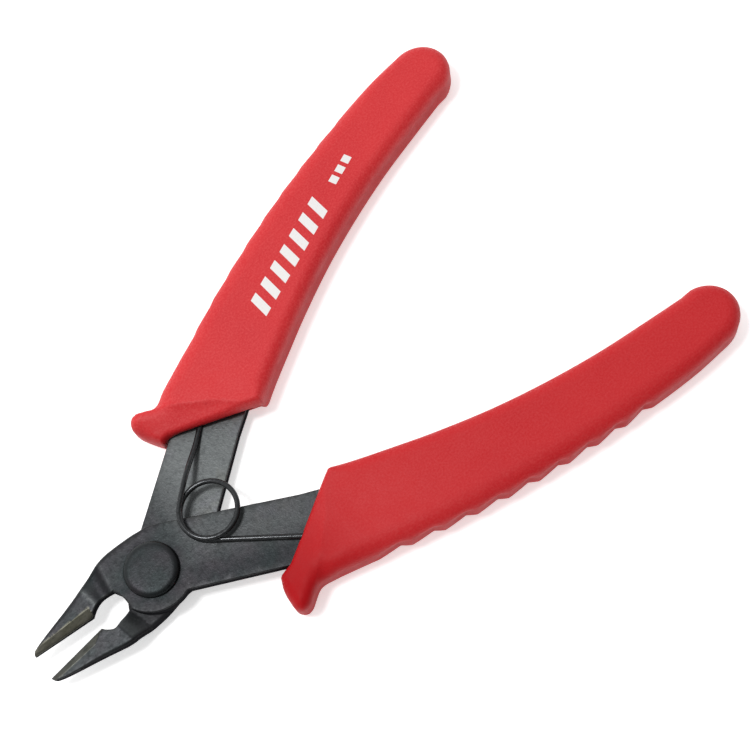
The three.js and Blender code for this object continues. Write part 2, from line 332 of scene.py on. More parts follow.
def triangulate(loop, hole, lines, crisp, loose):
    """Triangles of a cap that follow the outline, the hole and the lines.

    Gives points, triangles, the ids along the outline and the hole, and the first `crisp` lines'
    edges.
    """
    closed = [loop] if hole is None else [loop, hole]
    edges, creases, total = [], [], 0
    for ring in closed:
        count = len(ring)
        edges += [(total + i, total + (i + 1) % count) for i in range(count)]
        total += count
    closed_count = total
    for number, line in enumerate(lines):
        gap, _ = nearest(line, loop)
        on = inside(line, loop) & (gap > LINE_MARGIN)
        drawn = [(total + i, total + i + 1) for i in range(len(line) - 1) if on[i] and on[i + 1]]
        edges += drawn
        if number < crisp:
            creases += drawn
        total += len(line)
    points = np.concatenate([*closed, *lines, loose])
    kept = inside(points, loop)
    kept[:closed_count] = True
    order = np.cumsum(kept) - 1
    flat, _, triangles, origin, _, _ = delaunay_2d_cdt(
        [Vector(point) for point in points[kept]],
        [(int(order[a]), int(order[b])) for a, b in edges], [], 0, 1e-6)
    place = {old: new for new, olds in enumerate(origin) for old in olds}
    flat = np.array([(p.x, p.y) for p in flat])
    triangles = np.array([t for t in triangles if len(t) == 3])
    middle = flat[triangles].mean(axis=1)
    good = inside(middle, loop)
    if hole is not None:
        good &= ~inside(middle, hole)
    triangles = triangles[good]
    a, b, c = flat[triangles].transpose(1, 0, 2)
    area = (b[:, 0] - a[:, 0]) * (c[:, 1] - a[:, 1]) - (c[:, 0] - a[:, 0]) * (b[:, 1] - a[:, 1])
    triangles[area < 0] = triangles[area < 0][:, ::-1]
    ids = np.array([place[i] for i in range(closed_count)])
    creases = [(place[int(order[a])], place[int(order[b])]) for a, b in creases]
    return flat, triangles, ids[:len(loop)], ids[len(loop):], creases


def shell(name, loop, rim, rise, top, bottom, spots, lines, rows, rings, hole=None, crisp=0,
          move=None, marks=None, sharp_angle=35.0):
    """A closed plate on a counter-clockwise loop, with rounded rims of width rim and height rise.

    top and bottom give its faces' heights, and rows is how many rows of faces its wall has.
    """
    count = len(loop)
    loose = cap_points(loop, rim, rings, spots, hole, lines)
    flat, triangles, ring, hole_ring, creases = triangulate(loop, hole, lines, crisp, loose)
    size = len(flat)
    distance, index = nearest(flat, loop)
    upper, lower = top(flat), bottom(flat)
    height = np.minimum(np.broadcast_to(rise, count)[index], 0.42 * (upper - lower))
    reach = 1 - np.clip(distance / rim[index], 0, 1)
    drop = height * (1 - np.sqrt(np.maximum(1 - reach ** 2, 0)))
    front, back = np.column_stack([flat, upper - drop]), np.column_stack([flat, lower + drop])
    walls = [front[ring] * (1 - t) + back[ring] * t for t in np.arange(1, rows) / rows]
    verts = np.concatenate([front, back, *walls])
    faces = triangles.tolist() + (triangles[:, ::-1] + size).tolist()
    between = [2 * size + count * row + np.arange(count) for row in range(rows - 1)]
    ids = [ring, *between, ring + size]
    for above, below in zip(ids, ids[1:]):
        for i in range(count):
            j = (i + 1) % count
            faces.append([above[i], below[i], below[j], above[j]])
    for i, j in zip(hole_ring, np.roll(hole_ring, -1)):
        faces.append([i, j, j + size, i + size])
    distance = np.concatenate([distance, distance, np.zeros(len(verts) - 2 * size)])
    if move is not None:
        verts = move(verts)

    used = np.unique(np.concatenate([np.array(face) for face in faces]))
    renumber = np.full(len(verts), -1)
    renumber[used] = np.arange(len(used))
    faces = [[int(renumber[i]) for i in face] for face in faces]
    piece = new_piece(name, verts[used], faces, sharp_angle)
    creases = {frozenset((int(renumber[a]), int(renumber[b]))) for a, b in creases}
    for edge in piece.data.edges:
        if frozenset(edge.vertices) in creases:
            edge.use_edge_sharp = True
    paint(piece, "wear", np.exp(-(distance[used] / WEAR_REACH) ** 2))
    if marks is not None:
        for key, values in marks(verts[used]).items():
            paint(piece, key, values)
    return piece


def tube(name, path, radius, sides):
    """A closed round wire along a path, with flat ends and without twist."""
    ahead = np.gradient(path, axis=0)
    ahead /= np.linalg.norm(ahead, axis=1)[:, None]
    side = np.cross(ahead[0], (0, 0, 1.0))
    points = []
    for place, along in zip(path, ahead):
        side = side - along * (side @ along)
        side /= np.linalg.norm(side)
        up = np.cross(along, side)
        points += [place + radius * (cos * side + sin * up) for cos, sin in circle(sides)]
    faces = []
    for i in range(len(path) - 1):
        for k in range(sides):
            m = (k + 1) % sides
            low, high = i * sides, (i + 1) * sides
            faces.append([low + k, low + m, high + m, high + k])
    last = (len(path) - 1) * sides
    faces.append(list(range(sides))[::-1])
    faces.append(list(range(last, last + sides)))
    return new_piece(name, points, faces, 50.0)


def lathe(name, profile, sides):
    """A turned piece and its points. The profile runs from the axis round the outside and back."""
    points = [(0, 0, profile[0][1])]
    for r, z in profile[1:-1]:
        points += [(r * cos, r * sin, z) for cos, sin in circle(sides)]
    points.append((0, 0, profile[-1][1]))
    last = len(points) - 1
    faces = []
    for k in range(sides):
        m = (k + 1) % sides
        faces.append([0, 1 + m, 1 + k])
        for low in range(1, last - sides, sides):
            high = low + sides
            faces.append([low + k, low + m, high + m, high + k])
        faces.append([last - sides + k, last - sides + m, last])
    return new_piece(name, points, faces, 40.0), np.array(points, float)


def prism(outline, low, high):
    """A plain upright block, used only to cut with."""
    outline = counter_clockwise(np.asarray(outline, float))
    n = len(outline)
    points = [(x, y, low) for x, y in outline] + [(x, y, high) for x, y in outline]
    faces = [list(range(n))[::-1], list(range(n, 2 * n))]
    faces += [[i, (i + 1) % n, n + (i + 1) % n, n + i] for i in range(n)]
    return new_piece("cutter", points, faces)


def cut(piece, tool):
    """Cuts the tool out of the piece and throws the tool away."""
    modifier = piece.modifiers.new("cut", "BOOLEAN")
    modifier.operation = "DIFFERENCE"
    modifier.solver = "EXACT"
    modifier.object = tool
    graph = bpy.context.evaluated_depsgraph_get()
    mesh = bpy.data.meshes.new_from_object(piece.evaluated_get(graph))
    piece.modifiers.clear()
    piece.data = mesh
    bpy.data.objects.remove(tool)


def keep_flats(piece):
    """Normals weighted by area, so that a flat face stays flat up to its rounded rim."""
    weighted = piece.modifiers.new("flats", "WEIGHTED_NORMAL")
    weighted.keep_sharp = True
    weighted.weight = 60


# ---- painted shade of the steel, in place of the lamps' reflections: 0 is the lightest, 1 the darkest

HEAD_PAINTED_SHADE = 0.88
FRONT_TANG_PAINTED_SHADE = 0.6  # at the front tang's inner edge
OUTER_PAINTED_SHADE = 0.97  # and at its outer edge
JAW_PAINTED_SHADE = 0.87
ROOT_PAINTED_SHADE = 0.97  # painted shade on the back arm below the pivot
ROOT_SLOPE_PAINTED_SHADE = 0.4  # and on its bend
# painted shade levels of the back arm's ground bevel and of the rivet's head
BEVEL_PAINTED_SHADE = 0.6
RIVET_PAINTED_SHADE = 0.93
RIM_LIT_SIDE_PAINTED_SHADE = 0.78  # painted highlight: the rivet head's rounded rim, lighter at its +Y side
RIDGE_PAINTED_HIGHLIGHT = 0.4  # painted highlight: how much lighter the bend's lower line is
RIDGE_START = 0.35  # and its upper line, as a share of that
RIDGE_WIDTH = 0.3
# painted highlight along the back arm's throat edge
THROAT_PAINTED_HIGHLIGHT = 0.3
THROAT_WIDTH = 0.35

# Ranges that the painted shade changes over: x or a distance in millimetres, or a share of the
# bend.
HEAD_FADE_X = (4, 17)
LOWER_FADE_X = (2.0, 5.0)
TANG_FADE = (-3.5, 2.5)
JAW_FADE = (0.75, 1.0)
STEEP_START, STEEP_EASE, STEEP_END = (0.02, 0.12), (0.45, 0.9), (0.9, 1.0)
RIVET_SHADOW = (0.25, 0.75)  # painted shadow ring, this far beyond the rivet's head
DISC_SHADOW_R = (5.9, 6.9)
# painted dark matte shade on the disc's lower part, over these radii
DISC_MATTE_SHADE_R = (5.4, 7.0)
ROOT_R = (5.5, 6.5)
ROOT_SLOPE_START, ROOT_SLOPE_END = (0.0, 0.12), (0.88, 1.0)
# painted dark matte shade on the root fades over this share of the bend
ROOT_MATTE_SHADE = (0.0, 0.2)
ROOT_SHADOW = 2.0  # painted shadow of the front disc, this far beyond its edge
CROWN_FADE = (0.3, 1.5)


# ---- steel arms ------------------------------------------

def handle(points, side):
    return np.asarray(points, float) * (1, side)


def jaw(points, side):
    """Points of a jaw; side is 1 for the front arm's jaw and -1 for the back arm's."""
    x, y = np.asarray(points, float).T * np.array([[1], [side]]) + np.array([[0], [JAW_OFFSET]])
    cos, sin = math.cos(-JAW_LEAN), math.sin(-JAW_LEAN)
    return np.column_stack([x * cos - y * sin, x * sin + y * cos])


def jaw_place(points, side):
    """The (x, h) of points in the jaw's own drawing."""
    cos, sin = math.cos(JAW_LEAN), math.sin(JAW_LEAN)
    x, y = points[:, 0], points[:, 1]
    return x * cos - y * sin, side * (x * sin + y * cos - JAW_OFFSET)


def tang_point(distance, offset):
    cos, sin = math.cos(TANG_ANGLE), math.sin(TANG_ANGLE)
    return distance * cos - offset * sin, distance * sin + offset * cos


def edge_point(x):
    return x, -x * math.tan(EDGE_ANGLE) + EDGE_CLEAR


def off_edge(x, h):
    """How far a place in the jaw's drawing lies from the cutting edge."""
    return h * math.cos(EDGE_ANGLE) + x * math.sin(EDGE_ANGLE)


def tang_edges(margin, step):
    """The tang's inner and outer edges inside the grip, moved outward by a margin."""
    inner = spline([tang_point(TANG_STRAIGHT, -TANG_INNER - margin)]
                   + [(x + margin / 2, h - margin) for x, h in TANG_INSIDE], step)
    outer = spline([tang_point(TANG_STRAIGHT, TANG_OUTER + margin)]
                   + [(x - margin / 2, h + margin) for x, h in TANG_OUTSIDE], step)
    return inner, outer


def arc(radius, start, turn, step):
    angles = np.linspace(start, start + turn, round(abs(turn) * radius / step))
    return np.column_stack([radius * np.cos(angles), radius * np.sin(angles)])


class Arm:
    """A plate arm with its jaw. The two arms below give the numbers and what only they have.

    side is 1 for the back arm and -1 for the front arm: the handle lies on that side of the X axis,
    the jaw on the other. The plate bends from its own level to the jaws' level between the lines
    bend_start and bend_end, each an x on the jaws' line and a slope. dip is the bend's hollow.
    """

    def __init__(self, name):
        self.loop = self.outline()
        self.crown = jaw(spline(self.outer[:-2], 0.5), -self.side)
        self.throat_edge = jaw(spline([edge_point(EDGE_END_X)] + self.inner, 0.3), -self.side)
        spots = np.concatenate([lattice(self.loop, 0.45, high_x=-4.0),
                                lattice(self.loop, 1.4, low_x=-4.0)])
        rim = self.rim()
        self.piece = shell(name, self.loop, rim, rim, self.top, self.bottom, spots, self.lines(),
                           rows=3, rings=(0.15, 0.5, 1.0), hole=HOLE_R * circle(HOLE_SIDES),
                           crisp=2, marks=self.marks)
        keep_flats(self.piece)

    def outline(self):
        """The arm's outline, a counter-clockwise loop."""
        side, disc_r = self.side, self.disc_r
        tang_in, tang_out = tang_edges(0, 0.5)
        root = resample([tang_point(TANG_STRAIGHT, -TANG_INNER), tang_point(1.2, -TANG_ROOT)], 0.5)
        crown = spline(self.outer[:-2], 0.5)
        tip = resample([*self.outer[-3:], (TIP_X + 0.1, 2.8), edge_point(TIP_X)], 0.35)
        edge = resample([edge_point(TIP_X), edge_point(EDGE_END_X)], 0.5)
        heel = spline([edge_point(EDGE_END_X)] + self.inner, 0.3)
        neck = resample(jaw(self.throat, 1), 0.3)
        neck[-1] *= disc_r / np.linalg.norm(neck[-1])
        leave = tang_point(math.sqrt(disc_r ** 2 - TANG_OUTER ** 2), TANG_OUTER)
        start, end = math.atan2(neck[-1][1], neck[-1][0]), side * math.atan2(leave[1], leave[0])
        disc = arc(disc_r, start, -side * (side * (start - end) % (2 * math.pi)), 0.4)
        run = resample([leave, tang_point(TANG_STRAIGHT, TANG_OUTER)], 0.5)
        tang_end = resample([(TANG_END_X, 36.4), (TANG_END_X, 33)], 0.5)
        return counter_clockwise(join(
            handle(tang_in[::-1], side), handle(root, side),
            jaw(crown, -side), jaw(tip, -side), jaw(edge, -side), jaw(heel, -side),
            neck, disc, handle(run, side), handle(tang_out, side), handle(tang_end, side),
        ))

    def rim(self):
        """The width of the rounded rim at each point of the outline."""
        x, h = jaw_place(self.loop, -self.side)
        outer_side = (h > 3) * ease(x, -21, -15) * (1 - ease(x, 1, 4))
        return STEEL_RIM + (OUTER_ROUND - STEEL_RIM) * smooth_round(outer_side, 6)

    def bend_at(self, points):
        """Points in the jaw's drawing: x, h, how far along the bend, and the bend's two x there."""
        x, h = jaw_place(points, -self.side)
        across = np.clip(h, 0, JAW_DEEPEST)
        start_x = self.bend_start[0] + self.bend_start[1] * across
        end_x = self.bend_end[0] + self.bend_end[1] * across
        return x, h, np.clip((start_x - x) / (start_x - end_x), 0, 1.0), start_x, end_x

    def bent(self, points, plate, face, tip):
        """Heights of a face at `plate` on the arm, and from `face` to `tip` along the jaw."""
        x, _, t, _, end_x = self.bend_at(points)
        jaw_z = face + (tip - face) * np.clip((end_x - x) / (end_x - TIP_X), 0, 1)
        soft = (1 - BEND_SOFTNESS) * t + BEND_SOFTNESS * ease(t, 0, 1)
        return plate + (jaw_z - plate) * soft

    def bottom(self, points):
        return self.bent(points, self.level, JAW_BOTTOM, TIP_BOTTOM)

    def top(self, points):
        x, h, t, _, _ = self.bend_at(points)
        z = self.bent(points, self.level + PLATE, JAW_TOP, TIP_TOP)
        z -= self.dip * np.sin(math.pi * t ** 0.8) ** 2
        low = JAW_BOTTOM + EDGE_LAND
        rise = np.maximum(off_edge(x, h), 0) / np.maximum(self.bevel_width(x), 0.1)
        bevel = low + (z - low) * rise + HEEL_CLIMB * np.maximum(x - EDGE_END_X - HEEL_RUN, 0)
        return np.where(x < EDGE_END_X + HEEL_END, np.minimum(z, bevel), z)

    def bevel_width(self, x):
        return BEVEL_TIP + (BEVEL_HEEL - BEVEL_TIP) * (TIP_X - x) / (TIP_X - EDGE_END_X)

    def lines(self):
        """The lines that the mesh follows: the bevel's upper edge and heel, and the bend's two."""
        ground = []
        for share in np.linspace(0.01, 1.0, 30):
            x = EDGE_END_X + 0.25 + (TIP_X - EDGE_END_X) * share
            width = self.bevel_width(x)
            ground.append((x + width * math.sin(EDGE_ANGLE),
                           -x * math.tan(EDGE_ANGLE) + width * math.cos(EDGE_ANGLE)))
        heel = [(EDGE_END_X + 0.28, h) for h in np.linspace(1.3, ground[0][1] - 0.08, 4)]
        across = np.linspace(0.5, 8.6, 28)
        bends = [np.column_stack([x + slope * across, across])
                 for x, slope in (self.bend_start, self.bend_end)]
        return [jaw(line, -self.side) for line in (ground, heel, *bends)]

    def marks(self, verts):
        """What the steel reads at each point: its painted shade, its share of ground face, and its
        share of painted dark matte shade.
        """
        flat, z = verts[:, :2], verts[:, 2]
        x, h, t, start_x, end_x = self.bend_at(flat)
        spot = SimpleNamespace(
            flat=flat, x=x, h=h, t=t, start_x=start_x, end_x=end_x,
            radius=np.linalg.norm(flat, axis=1),
            lower=(flat[:, 1] < 0.5) * (1 - ease(flat[:, 0], *LOWER_FADE_X)),
            bevelled=((off_edge(x, h) < self.bevel_width(x)) & (x < EDGE_END_X + 0.35)
                      & (z > JAW_BOTTOM + 0.6)))
        # Painted shade: more on the head and jaws than on the tangs, in place of their reflections.
        head = HEAD_PAINTED_SHADE * (1 - ease(flat[:, 0], *HEAD_FADE_X))
        tone = np.maximum(head, self.tang_painted_shade(spot))
        on_jaw = ease(t, *JAW_FADE)
        tone = self.jaw_painted_shade(spot, tone * (1 - on_jaw) + JAW_PAINTED_SHADE * on_jaw)
        # Upright faces take painted dark matte shade.
        wall = (z - self.bottom(flat) > 0.15) & (self.top(flat) - z > 0.15)
        return {"tone": tone, "ground": spot.bevelled * self.ground_share,
                "wall": np.maximum(wall, self.matte_shade_share(spot))}


class BackArm(Arm):
    side, level, disc_r = 1, BACK_Z, BACK_DISC_R
    outer, inner, throat = BACK_OUTER, BACK_INNER, BACK_THROAT
    bend_start, bend_end, dip = (-7.6, 0.25), (-10.6, 0.168), 0.0
    ground_share = 0.5

    def bevel_width(self, x):
        """This bevel runs out to a point at the heel."""
        heel = HEEL_POINT + HEEL_TAPER * np.maximum(EDGE_END_X + HEEL_RUN - x, 0)
        return np.minimum(super().bevel_width(x), heel)

    def tang_painted_shade(self, spot):
        return 0.0

    def jaw_painted_shade(self, spot, tone):
        """Painted shade below the pivot, under the front disc and along the crown, lighter on the
        bend, with a painted highlight at the throat.
        """
        depth = ROOT_PAINTED_SHADE + (ROOT_SLOPE_PAINTED_SHADE - ROOT_PAINTED_SHADE) * ease(spot.t, *ROOT_SLOPE_START)
        depth += (JAW_PAINTED_SHADE - depth) * ease(spot.t, *ROOT_SLOPE_END)
        tone += (depth - tone) * self.root(spot)
        shadow = 1 - ease(spot.radius, FRONT_DISC_R, FRONT_DISC_R + ROOT_SHADOW)
        tone = np.maximum(tone, shadow * spot.lower)
        # painted shade along the outer edge
        tone = np.maximum(tone, 1 - ease(gap_to(spot.flat, self.crown), *CROWN_FADE))
        # painted highlight along the throat's edge
        gap = gap_to(spot.flat, self.throat_edge)
        tone -= THROAT_PAINTED_HIGHLIGHT * np.exp(-(gap / THROAT_WIDTH) ** 2)
        return np.where(spot.bevelled, BEVEL_PAINTED_SHADE, tone)

    def root(self, spot):
        # where the painted shade below the pivot lies
        return ease(spot.radius, *ROOT_R) * spot.lower

    def matte_shade_share(self, spot):
        # painted dark matte shade on the flat below the pivot
        return 0.6 * self.root(spot) * (1 - ease(spot.t, *ROOT_MATTE_SHADE))


class FrontArm(Arm):
    side, level, disc_r = -1, FRONT_Z, FRONT_DISC_R
    outer, inner, throat = FRONT_OUTER, FRONT_INNER, FRONT_THROAT
    bend_start, bend_end, dip = (-7.9, 0.2), (-10.5, -0.16), 0.35
    ground_share = 1.0

    def tang_painted_shade(self, spot):
        # painted shade across the front tang, darker to its outer edge, in place of a dark
        # reflection
        across = -spot.flat[:, 1] * math.cos(TANG_ANGLE) - spot.flat[:, 0] * math.sin(TANG_ANGLE)
        return FRONT_TANG_PAINTED_SHADE + (OUTER_PAINTED_SHADE - FRONT_TANG_PAINTED_SHADE) * ease(across, *TANG_FADE)

    def jaw_painted_shade(self, spot, tone):
        """Painted shade on the bend, painted shadows of the rivet and the disc, and painted
        highlights along the bend's lines.
        """
        # painted shade on the bend's slope
        steep = ease(spot.t, *STEEP_START) * (1 - 0.3 * ease(spot.t, *STEEP_EASE))
        steep *= 1 - ease(spot.t, *STEEP_END)
        tone = np.maximum(tone, steep)
        # painted highlights along the bend's two lines
        for line_x, share in ((spot.end_x, 1.0), (spot.start_x, RIDGE_START)):
            ridge = np.exp(-((spot.x - line_x) / RIDGE_WIDTH) ** 2) * (spot.h > 0)
            tone -= RIDGE_PAINTED_HIGHLIGHT * share * ridge
        # painted shadow ring round the rivet's head
        near, far = RIVET_SHADOW
        tone = np.maximum(tone, 1 - ease(spot.radius, HEAD_R + near, HEAD_R + far))
        # painted shadow below the disc's edge
        return np.maximum(tone, ease(spot.radius, *DISC_SHADOW_R) * spot.lower)

    def matte_shade_share(self, spot):
        # painted dark matte shade on the disc's lower part
        return 0.4 * ease(spot.radius, *DISC_MATTE_SHADE_R) * spot.lower


back_arm = BackArm("back_arm_steel").piece
front_arm = FrontArm("front_arm_steel").piece


# ---- rivet -----------------------------------------------

def rivet_profile():
    """From the middle of the rear head round the shank to the middle of the front head."""
    head_bottom = FRONT_TOP + RUNNING_GAP
    rim_low = FRONT_TOP + 0.27
    rim_height = HEAD_TOP - FRONT_TOP - 0.3
    rim_r = HEAD_R - FLAT_R
    return [
        (0, 0), (1.6, 0), (REAR_HEAD_R - REAR_ROUND - 0.05, 0),
        *((REAR_HEAD_R - REAR_ROUND * (1 - math.cos(a)), REAR_ROUND * (1 + math.sin(a)))
          for a in np.radians(np.linspace(-80, 0, 6))),
        (REAR_HEAD_R, REAR_HEAD_TOP - 0.01), (REAR_HEAD_R - 0.1, REAR_HEAD_TOP),
        (SHANK_R, REAR_HEAD_TOP), (SHANK_R, 2.8), (SHANK_R, head_bottom),
        (HEAD_R - 0.35, head_bottom), (HEAD_R - 0.1, FRONT_TOP + 0.2),
        *((FLAT_R + rim_r * math.cos(a) ** 0.8, rim_low + rim_height * math.sin(a) ** 0.8)
          for a in np.radians(np.linspace(0, 90, 16))),
        (2.9, HEAD_TOP - 0.01), (1.6, HEAD_TOP), (0, HEAD_TOP),
    ]


def mark_rivet(piece, points):
    """Wear round the head's rim, painted shade over the head with a painted highlight on the rim's
    +Y side, and painted dark matte shade below the head.
    """
    x, y, z = points.T
    radius = np.hypot(x, y)
    outermost = radius.max()
    facing = y / np.maximum(radius, 1e-9)
    rim_painted_shade = 1 + (RIM_LIT_SIDE_PAINTED_SHADE - 1) * ease(facing, -0.3, 0.8)
    paint(piece, "wear", 0.5 * np.exp(-((radius - outermost) / 0.5) ** 2))
    rim = ease(radius, FLAT_R, outermost)
    paint(piece, "tone", RIVET_PAINTED_SHADE + (rim_painted_shade - RIVET_PAINTED_SHADE) * rim)
    paint(piece, "wall", z < HEAD_TOP - 1.1)


rivet, rivet_points = lathe("rivet_turned", rivet_profile(), 96)
mark_rivet(rivet, rivet_points)
keep_flats(rivet)

# ---- torsion spring --------------------------------------

LOW_TURN = FRONT_TOP + RUNNING_GAP + WIRE_R
HIGH_TURN = LOW_TURN + 2 * WIRE_R + RUNNING_GAP
TANG_REST = BACK_Z + PLATE + RUNNING_GAP + WIRE_R
FALL_START = COIL_START + 190  # the turn comes down between these two angles
FALL_END = COIL_START + 350


def leg_point(angle, distance, direction, z):
    """A point on a straight leg that leaves the coil at an angle, or on the coil at distance 0."""
    a = math.radians(angle)
    return (
        COIL_X + COIL_R * math.cos(a) - direction * distance * math.sin(a),
        COIL_Y + COIL_R * math.sin(a) + direction * distance * math.cos(a),
        z,
    )


def back_leg(distance, z=0.0):
    return leg_point(COIL_START, distance, -1, z)


def front_leg(distance, z=0.0):
    return leg_point(COIL_END, distance, 1, z)


def spring_path():
    """Up from the back arm's tang, round the coil and down, and out along the front arm's tang."""
    path = [back_leg(LEG * share, TANG_REST) for share in (1, 0.75, 0.52)]
    path += [back_leg(LEG * 0.44, TANG_REST + 0.3), back_leg(LEG * 0.2, HIGH_TURN - 0.3),
             back_leg(LEG * 0.1, HIGH_TURN)]
    for angle in np.linspace(COIL_START, COIL_END, 60):
        fall = float(ease(angle, FALL_START, FALL_END))
        path.append(leg_point(angle, 0, 1, HIGH_TURN + (LOW_TURN - HIGH_TURN) * fall))
    path += [front_leg(LEG * share, LOW_TURN) for share in (0.1, 0.5, 1)]
    return spline(path, 0.32)


spring = tube("spring_wire", spring_path(), WIRE_R, 18)

# ---- grips -----------------------------------------------

NOTCHES = 9
NOTCH_START_X = 32.8
NOTCH_PITCH_X = 5.75
NOTCH_RAMP = 4.0
NOTCH_WALL = 1.7
NOTCH_DEPTH = 0.8
NOTCH_REACH = 2.4  # how far in from the outer edge
NOTCH_FADE_Z = (3.6, 6.3)  # the notches fade out towards the front face

MOUTH_CORNER = np.array((33.2, 8.5))
MOUTH_ALONG = np.array((-0.901, 0.4335))
MOUTH_IN = np.array((0.4335, 0.901))
CREASE_ALONG = (0, 2.5, 8, 14.6, 20, 26)  # along the mouth from its inner corner
CREASE_WIDTH = (0.2, 0.5, 2.9, 4.4, 5.4, 6)  # and the collar's width there
UNDERCUT = 0.42
UNDERCUT_MOST = 1.4
UNDERCUT_REACH = 3.0
VALLEY = np.array((20.3, 21.1))  # a dent between the guard and the crease
VALLEY_DEPTH = 0.7

SIDE_PAINTED_SHADE = 0.75  # painted shade: how much darker the red is down the grips' sides
SIDE_PAINTED_SHADE_Z = (GRIP_TOP - 3.2, GRIP_TOP - 0.9)
# over this x range the front grip's painted shade rises towards the guard
GUARD_PAINTED_SHADE_X = (14, 34)

GRIP_EDGE = spline(GRIP_OUTER, 0.3)


def mouth_place(points):
    """How far points lie along the mouth from its inner corner, and how deep inside the grip."""
    return (points - MOUTH_CORNER) @ MOUTH_ALONG, (points - MOUTH_CORNER) @ MOUTH_IN


def grip_loop(guard_points):
    inner = spline(GRIP_INNER, 0.4)
    angles = np.radians(np.linspace(-75, 82, 60))
    end = np.column_stack([END_MIDDLE[0] + END_RADII[0] * np.cos(angles),
                           END_MIDDLE[1] + END_RADII[1] * np.sin(angles)])
    guard = spline(GRIP_OUTER[-1:] + guard_points, 0.25)
    mouth = resample(guard_points[-1:] + MOUTH + GRIP_INNER[:1], 0.35)
    return join(inner, end, GRIP_EDGE, guard, mouth)


def grip_rim(loop):
    """The width of the rounded rim: wider on the outer side, narrow at the mouth's lip."""
    along, shade_base = mouth_place(loop)
    lip = smooth_round((np.abs(shade_base) < 1.3) & (along > -1) & (along < 21), 4)
    outer_side = smooth_round(loop[:, 1] > 0.36 * loop[:, 0] + 9.5, 20)
    rim = GRIP_RIM + (OUTER_RIM - GRIP_RIM) * outer_side * ease(loop[:, 0], 20, 28)
    return rim + (LIP_RIM - rim) * lip


def notched(verts):
    """The finger notches: a long ramp in and a short steep wall out, on the outer side only."""
    x, h, z = verts.T
    edge_x, edge_h = GRIP_EDGE[::-1].T
    phase = (x - (NOTCH_START_X - NOTCH_RAMP)) / NOTCH_PITCH_X
    cycle = (phase % 1) * NOTCH_PITCH_X
    depth = np.where(cycle < NOTCH_RAMP, cycle / NOTCH_RAMP,
                     np.clip(1 - (cycle - NOTCH_RAMP) / NOTCH_WALL, 0, 1)) ** 1.15
    depth = np.where((phase < 0) | (phase > NOTCHES), 0, depth)
    near = np.clip(1 - np.abs(np.interp(x, edge_x, edge_h) - h) / NOTCH_REACH, 0, 1)
    push = NOTCH_DEPTH * depth * near * (1 - ease(z, *NOTCH_FADE_Z))
    tilt = np.arctan(np.interp(x, edge_x, np.gradient(edge_h, edge_x)))
    moved = verts.copy()
    moved[:, 0] += push * np.sin(tilt)
    moved[:, 1] -= push * np.cos(tilt)
    return moved


def undercut(verts, lip_z):
    """Below its lip the mouth leans back into the grip."""
    along, shade_base = mouth_place(verts[:, :2])
    depth = np.clip(UNDERCUT * (lip_z - verts[:, 2]), 0, UNDERCUT_MOST)
    depth *= np.clip(1 - shade_base / UNDERCUT_REACH, 0, 1)
    depth *= ease(along, -1, 1) * (1 - ease(along, 15, 19))
    moved = verts.copy()
    moved[:, :2] += depth[:, None] * MOUTH_IN
    return moved


def tang_pocket(side):
    """The outline of the pocket that the tang sits in."""
    inner, outer = tang_edges(POCKET_GAP, 1.0)
    end_x = TANG_END_X + POCKET_GAP
    return handle(np.concatenate([
        [tang_point(12, -TANG_INNER - POCKET_GAP)], inner, [(end_x, 33), (end_x, 36.4)],
        outer[::-1], [tang_point(12, TANG_OUTER + POCKET_GAP)],
    ]), side)


def wire_slot(leg):
    """The outline of the slot that the end of a spring's leg lies in."""
    start, end = np.array(leg(LEG * 0.4))[:2], np.array(leg(LEG + 1))[:2]
    across = np.array((start[1] - end[1], end[0] - start[0]))
    across *= (WIRE_R + 0.25) / np.linalg.norm(across)
    return np.array([start - across, end - across, end + across, start + across])


def grip(name, side, level, guard, leg, slope, shade_base):
    """A grip. slope is how steeply its collar falls to the mouth, and the last argument is how much
    painted shade darkens its whole red; above 0 it also darkens towards the guard.
    """
    loop = grip_loop(guard)
    lip_z = GRIP_TOP - slope * 3.5 - LIP_RIM

    def top(points):
        along, inward = mouth_place(points)
        width = np.interp(along, CREASE_ALONG, CREASE_WIDTH)
        t = np.clip(1 - inward / width, 0, 1)
        collar = np.where(along < -0.5, 0, slope * width * t * (1.5 - 0.5 * t))
        dent = VALLEY_DEPTH * np.exp(-np.sum((points - VALLEY) ** 2, axis=1) / 3.0)
        return GRIP_TOP - collar - dent

    def bottom(points):
        return np.full(len(points), GRIP_BOTTOM)

    def shaped(verts):
        return undercut(notched(verts), lip_z) * (1, side, 1)

    spots = np.concatenate([lattice(loop, 0.45, high_x=36.0), lattice(loop, 1.1, low_x=36.0)])
    along = np.linspace(0.8, 24, 60)
    width = np.interp(along, CREASE_ALONG, CREASE_WIDTH)
    crease = MOUTH_CORNER + along[:, None] * MOUTH_ALONG + width[:, None] * MOUTH_IN
    piece = shell(name, loop, grip_rim(loop), GRIP_RISE, top, bottom, spots, [crease], rows=5,
                  rings=(0.05, 0.15, 0.3, 0.5, 0.75, 1.0), move=shaped, sharp_angle=60.0)
    if side < 0:
        piece.data.flip_normals()
    floor_z = level + PLATE
    cut(piece, prism(tang_pocket(side), level - POCKET_GAP, floor_z + POCKET_GAP))
    cut(piece, prism(wire_slot(leg), floor_z, floor_z + RUNNING_GAP + 2 * WIRE_R + 0.1))
    x, _, z = np.array([vert.co for vert in piece.data.vertices]).T / MM
    # Painted shade: the front grip darker all over and towards its guard, and both grips darker
    # down their sides.
    tone = shade_base + (1 - shade_base) * (1 - ease(x, *GUARD_PAINTED_SHADE_X)) * (shade_base > 0)
    paint(piece, "tone", tone + (1 - tone) * SIDE_PAINTED_SHADE * (1 - ease(z, *SIDE_PAINTED_SHADE_Z)))
    return piece


back_grip = grip("back_grip_cover", 1, BACK_Z, BACK_GUARD, back_leg, slope=0.44, shade_base=0.0)
front_grip = grip("front_grip_cover", -1, FRONT_Z, FRONT_GUARD, front_leg, slope=0.17, shade_base=0.4)

# ---- materials -------------------------------------------

